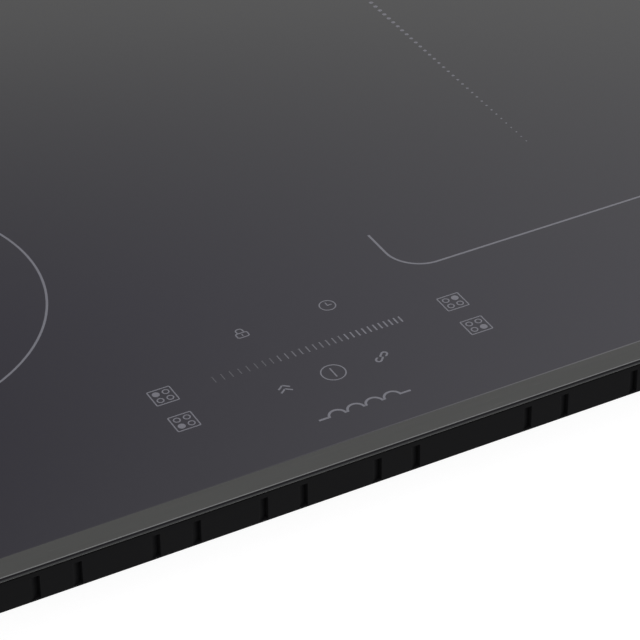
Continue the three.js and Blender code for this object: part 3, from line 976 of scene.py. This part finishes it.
class HOB_OT_glass(bpy.types.Operator):
    """Black glass top with its ground front facet"""

    bl_idname = "hob.glass"
    bl_label = "Glass top"
    bl_options = {"REGISTER", "UNDO"}

    FACET, ARRIS, EDGE = 1, 2, 3      # the other materials, after that of the top
    CREASE = 8.0                      # less than the 11 degrees from the top to the facet
    CORNER_SEGMENTS, ARRIS_SEGMENTS = 12, 3
    IN_FACET = 0.9995                 # cosine between a face of the facet and its slope
    UPRIGHT, LEVEL = 0.02, 0.97       # how far up the normal of such a face points

    def execute(self, context):
        s = setting("hob_glass")
        bm, top = self.blank(s)
        slope = Vector((0.0, -s.facet_drop, s.facet_width)).normalized()
        cut = bmesh.ops.bisect_plane(
            bm, geom=bm.verts[:] + bm.edges[:] + bm.faces[:], dist=SAME_PLACE / 10,
            plane_co=(0.0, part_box("glass_top")[0].y + s.facet_width, top), plane_no=slope,
            clear_outer=True,
        )
        rim = [part for part in cut["geom_cut"] if isinstance(part, bmesh.types.BMEdge)]
        bmesh.ops.holes_fill(bm, edges=rim, sides=0)
        round_edges(bm, sharp_edges(bm, self.CREASE), s.arris, self.ARRIS_SEGMENTS)
        self.share_out(bm, slope)
        materials = [black_glass(), ground_facet(), ground_arris(), glass_edge()]
        stand_in("glass_top", bm, materials, self.CREASE)
        return {"FINISHED"}

    def blank(self, s):
        """The glass before its facet is ground, and the height of its top."""
        low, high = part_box("glass_top")
        top = high.z - setting("hob_ink").depth
        size, middle = high - low, (low + high) / 2
        bm = bmesh.new()
        bmesh.ops.create_cube(bm, size=1.0)
        bmesh.ops.scale(bm, vec=(size.x, size.y, top - low.z), verts=bm.verts)
        place = (middle.x, middle.y, (low.z + top) / 2)
        bmesh.ops.translate(bm, vec=place, verts=bm.verts)
        upright = [e for e in bm.edges if abs(e.verts[0].co.z - e.verts[1].co.z) > size.z / 2]
        round_edges(bm, upright, s.corner, self.CORNER_SEGMENTS)
        return bm, top

    def share_out(self, bm, slope):
        """Gives each face its material by the way it faces."""
        bm.normal_update()
        for face in bm.faces:
            if face.normal.dot(slope) > self.IN_FACET:
                face.material_index = self.FACET
            elif abs(face.normal.z) < self.UPRIGHT:
                face.material_index = self.EDGE
            elif abs(face.normal.z) < self.LEVEL:
                face.material_index = self.ARRIS


class HOB_OT_zone_marks(bpy.types.Operator):
    """Printed outlines of the cooking zones"""

    bl_idname = "hob.zone_marks"
    bl_label = "Zone marks"
    bl_options = {"REGISTER", "UNDO"}

    def execute(self, context):
        s = setting("hob_ink")
        stroke = s.zone_stroke / MM
        for name, y, radius in ZONES:
            ring = Flat.disc(radius + stroke / 2, 192).hollow(stroke).at(ZONE_LEFT, y)
            printed(f"zone_mark_{name}", [ring])

        for name, side in (("front", -1), ("rear", 1)):
            bracket = Flat.panel(
                BRIDGE_WIDE + stroke, BRIDGE_LONG + stroke, BRIDGE_CORNER + stroke / 2, 20
            )
            bracket.hollow(stroke).trim((0.0, side * (BRIDGE_LONG / 2 - BRIDGE_LEG)), (0.0, -side))
            printed(f"zone_mark_bridge_{name}", [bracket.at(BRIDGE_X, BRIDGE_Y)])

        pitch, small, large = (size / MM for size in (s.dot_pitch, s.dot_small, s.dot_large))
        count = round(DOTS_REACH / pitch)
        dots = []
        for i in range(-count, count + 1):
            radius = small + (large - small) * (1.0 - abs(i) / count)
            dots.append(Flat.disc(radius, 16).at(BRIDGE_X, DOTS_Y + i * pitch))
        printed("zone_mark_bridge_dots", dots, 0.86)
        return {"FINISHED"}


class HOB_OT_key_marks(bpy.types.Operator):
    """Printed touch keys round the slider, and the badge in front of them"""

    bl_idname = "hob.key_marks"
    bl_label = "Key marks"
    bl_options = {"REGISTER", "UNDO"}

    def execute(self, context):
        self.zone_keys()
        self.power_key()
        self.boost_key()
        self.bridge_key()
        self.lock_key()
        self.timer_key()
        self.badge()
        return {"FINISHED"}

    def zone_keys(self):
        """Small plans of the hob, each with its own zone filled in."""
        stroke = setting("hob_ink").key_stroke / MM
        size, corner, out, zone = 10.05, 0.7, 2.1, 1.55
        for side, across in ((-1, "left"), (1, "right")):
            for row, (end, along) in enumerate(((-1, "front"), (1, "rear"))):
                x, y = side * KEY_OUT, KEY_LINE + row * KEY_STEP
                shapes = [Flat.panel(size, size, corner).hollow(stroke).at(x, y)]
                for i in (-1, 1):
                    for j in (-1, 1):
                        disc = Flat.disc(zone, 32)
                        if (i, j) != (side, end):
                            disc.hollow(stroke)
                        shapes.append(disc.at(x + i * out, y + j * out))
                printed(f"zone_key_{along}_{across}", shapes)

    def power_key(self):
        printed("power_key", [
            Flat.disc(5.2, 64).hollow(0.55).at(0.0, KEY_LINE),
            Flat.panel(0.6, 6.2).at(0.0, KEY_LINE),
        ])

    def boost_key(self):
        """Two chevrons, one over the other."""
        arms = []
        for y in (-1.2, 1.2):
            for side in (-1, 1):
                arm = Flat.panel(0.75, 3.4).trim((0.0, 1.45), (0.0, 1.0)).at(0.0, 0.0, side * 52.0)
                arms.append(arm.at(BOOST_X + side * 1.15, KEY_LINE + y))
        printed("boost_key", arms)

    def bridge_key(self):
        """Two links of a chain."""
        links = []
        for side in (-1, 1):
            link = Flat.panel(3.0, 4.6, 1.45, 6).hollow(0.8)
            link.trim((0.0, -side * 1.2), (side * 0.6, -side)).at(side * 0.45, side * 1.5)
            links.append(link.at(BRIDGE_KEY_X, KEY_LINE - 0.2, -45.0))
        printed("bridge_key", links)

    def lock_key(self):
        """A shackle, and a body with a keyhole."""
        body = UPPER_LINE - 1.05
        shackle = Flat.panel(3.4, 4.4, 1.5, 6).hollow(0.55).trim((0.0, -0.5), (0.0, -1.0))
        printed("lock_key", [
            shackle.at(LOCK_X, UPPER_LINE + 1.2),
            Flat.panel(5.6, 3.5, 1.1, 6).hollow(0.55).at(LOCK_X, body),
            Flat.panel(0.55, 1.2).at(LOCK_X, body),
        ])

    def timer_key(self):
        """A clock face with two hands."""
        face = UPPER_LINE + 0.4
        printed("timer_key", [
            Flat.disc(3.55, 48).hollow(0.5).at(TIMER_X, face),
            Flat.panel(0.5, 1.9).at(TIMER_X, face + 1.2),
            Flat.panel(2.2, 0.5).at(TIMER_X + 0.85, face),
        ])

    def badge(self):
        """A row of coil turns with a short line at each end."""
        pitch, stroke, tail = 8.0, 1.0, 4.0
        shapes = []
        for i in (-1.5, -0.5, 0.5, 1.5):
            turn = Flat.disc(pitch / 2, 48).hollow(stroke).trim((0.0, 0.0), (0.0, -1.0))
            shapes.append(turn.at(BADGE_X + i * pitch, BADGE_LINE))
        for side in (-1, 1):
            x = BADGE_X + side * (2 * pitch + tail / 2)
            shapes.append(Flat.panel(tail, stroke).at(x, BADGE_LINE + stroke / 2))
        printed("coil_badge", shapes)


class HOB_OT_slider_marks(bpy.types.Operator):
    """Printed graduations of the touch slider"""

    bl_idname = "hob.slider_marks"
    bl_label = "Slider marks"
    bl_options = {"REGISTER", "UNDO"}

    def execute(self, context):
        # The graduations draw together and grow bolder towards full power.
        last = sum(count for _, _, count in SLIDER_BANDS) - 1
        x, step, drawn = SLIDER_FIRST, SLIDER_STEP, 0
        for name, strength, count in SLIDER_BANDS:
            lines = []
            for _ in range(count):
                width = LINE_THIN + (LINE_BOLD - LINE_THIN) * drawn / last
                lines.append(Flat.panel(width, LINE_LONG).at(x, SLIDER_LINE))
                x, step, drawn = x + step, step * SLIDER_SHRINK, drawn + 1
            printed(f"slider_{name}", lines, strength)
        return {"FINISHED"}


class HOB_OT_housing(bpy.types.Operator):
    """Plastic base housing and the two foam seals"""

    bl_idname = "hob.housing"
    bl_label = "Base housing and seals"
    bl_options = {"REGISTER", "UNDO"}

    def execute(self, context):
        plastics = setting("hob_plastics")
        refined("base_housing", rim_plastic(), plastics.edge, crease=35.0)
        for node in ("glass_seal", "worktop_gasket"):
            refined(node, foam(), plastics.thin_edge)
        return {"FINISHED"}


class HOB_OT_coils(bpy.types.Operator):
    """Coil tray and the four coils with their carriers, ferrites and sensors"""

    bl_idname = "hob.coils"
    bl_label = "Coils"
    bl_options = {"REGISTER", "UNDO"}

    def execute(self, context):
        metals, plastics = setting("hob_metals"), setting("hob_plastics")
        rolled = metal("rolled aluminium", metals.aluminium, 0.34, (30.0, 1400.0, 900.0))
        carrier = moulded("coil carrier", plastics.carrier, 0.5, 700.0)
        refined("coil_tray", rolled, metals.edge)
        for zone in ("front_left", "rear_left", "front_right", "rear_right"):
            refined(f"coil_carrier_{zone}", carrier, plastics.edge)
            wound_coil(zone)
            refined(f"mica_sheet_{zone}", mica(), setting("hob_boards").sheet_edge)
            refined(f"ferrite_star_{zone}", sintered(), metals.edge)
            refined(f"temperature_sensor_{zone}", black_plastic(), plastics.edge)
        return {"FINISHED"}


class HOB_OT_power(bpy.types.Operator):
    """Power boards, heat sinks and fans"""

    bl_idname = "hob.power"
    bl_label = "Power electronics"
    bl_options = {"REGISTER", "UNDO"}

    def execute(self, context):
        metals, plastics = setting("hob_metals"), setting("hob_plastics")
        boards = setting("hob_boards")
        extruded = metal("extruded aluminium", metals.aluminium, 0.38, (1500.0, 25.0, 1500.0))
        for side in ("left", "right"):
            refined(f"power_board_{side}", circuit(), boards.edge)
            refined(f"heat_sink_{side}", extruded, metals.edge)
            refined(f"power_transistors_{side}", black_plastic(), plastics.edge)
            for kind in ("bus", "resonance"):
                refined(f"{kind}_capacitor_{side}", capacitor_case(), boards.case_edge, 3)
            refined(f"fan_casing_{side}", black_plastic(), plastics.edge)
            refined(f"fan_wheel_{side}", black_plastic(), plastics.thin_edge)
        return {"FINISHED"}


class HOB_OT_terminals(bpy.types.Operator):
    """Mains filter, terminal block, lid and cable clamp"""

    bl_idname = "hob.terminals"
    bl_label = "Mains terminals"
    bl_options = {"REGISTER", "UNDO"}

    def execute(self, context):
        plastics, boards = setting("hob_plastics"), setting("hob_boards")
        pale = moulded("pale moulding", plastics.ceramic, 0.45, 600.0)
        refined("filter_board", circuit(), boards.edge)
        refined("filter_choke", winding(), 0.0)
        refined("filter_capacitor", capacitor_case(), boards.case_edge, 3)
        refined("mains_fuse", pale, boards.case_edge, 3)
        refined("terminal_block", pale, plastics.edge)
        refined("terminal_lid", housing_plastic(), plastics.edge)
        refined("cable_clamp_bar", black_plastic(), plastics.clamp_edge, 3)
        for side in ("left", "right"):
            refined(f"cable_clamp_screw_{side}", zinc(), setting("hob_metals").small_screw_edge)
        return {"FINISHED"}


class HOB_OT_clamps(bpy.types.Operator):
    """Worktop clamps and their screws"""

    bl_idname = "hob.clamps"
    bl_label = "Worktop clamps"
    bl_options = {"REGISTER", "UNDO"}

    def execute(self, context):
        metals = setting("hob_metals")
        for corner in ("front_left", "front_right", "rear_left", "rear_right"):
            refined(f"worktop_clamp_{corner}", zinc(), metals.edge)
            refined(f"clamp_screw_{corner}", zinc(), metals.screw_edge, 3)
        return {"FINISHED"}


class HOB_OT_controls(bpy.types.Operator):
    """Control carrier, board, light guide and flat cable"""

    bl_idname = "hob.controls"
    bl_label = "Control unit"
    bl_options = {"REGISTER", "UNDO"}

    def execute(self, context):
        plastics, boards = setting("hob_plastics"), setting("hob_boards")
        guide = moulded("light guide", plastics.lamp, 0.4, 500.0)
        refined("control_carrier", black_plastic(), plastics.edge)
        refined("control_board", circuit(), boards.edge)
        refined("light_guide", guide, plastics.edge)
        refined("control_ribbon", flat_cable(), boards.sheet_edge)
        return {"FINISHED"}


OPERATORS = (
    HOB_OT_stage,
    HOB_OT_glass,
    HOB_OT_zone_marks,
    HOB_OT_key_marks,
    HOB_OT_slider_marks,
    HOB_OT_housing,
    HOB_OT_coils,
    HOB_OT_power,
    HOB_OT_terminals,
    HOB_OT_clamps,
    HOB_OT_controls,
)


class HOB_PT_panel(bpy.types.Panel):
    """Lists the hob's pieces"""

    bl_label = "Induction hob"
    bl_idname = "HOB_PT_panel"
    bl_space_type = "VIEW_3D"
    bl_region_type = "UI"
    bl_category = "Hob"

    def draw(self, context):
        for operator in OPERATORS:
            self.layout.operator(operator.bl_idname)
        for name, group in SETTINGS.items():
            column = self.layout.box().column()
            for key in group.__annotations__:
                column.prop(getattr(context.scene, name), key)


CLASSES = (*SETTINGS.values(), *OPERATORS, HOB_PT_panel)


def register():
    for cls in CLASSES:
        bpy.utils.register_class(cls)
    for name, group in SETTINGS.items():
        setattr(bpy.types.Scene, name, PointerProperty(type=group))


def unregister():
    for name in SETTINGS:
        delattr(bpy.types.Scene, name)
    for cls in reversed(CLASSES):
        bpy.utils.unregister_class(cls)


def main():
    register()
    for operator in OPERATORS:
        family, action = operator.bl_idname.split(".")
        getattr(getattr(bpy.ops, family), action)()


if __name__ == "__main__":
    main()
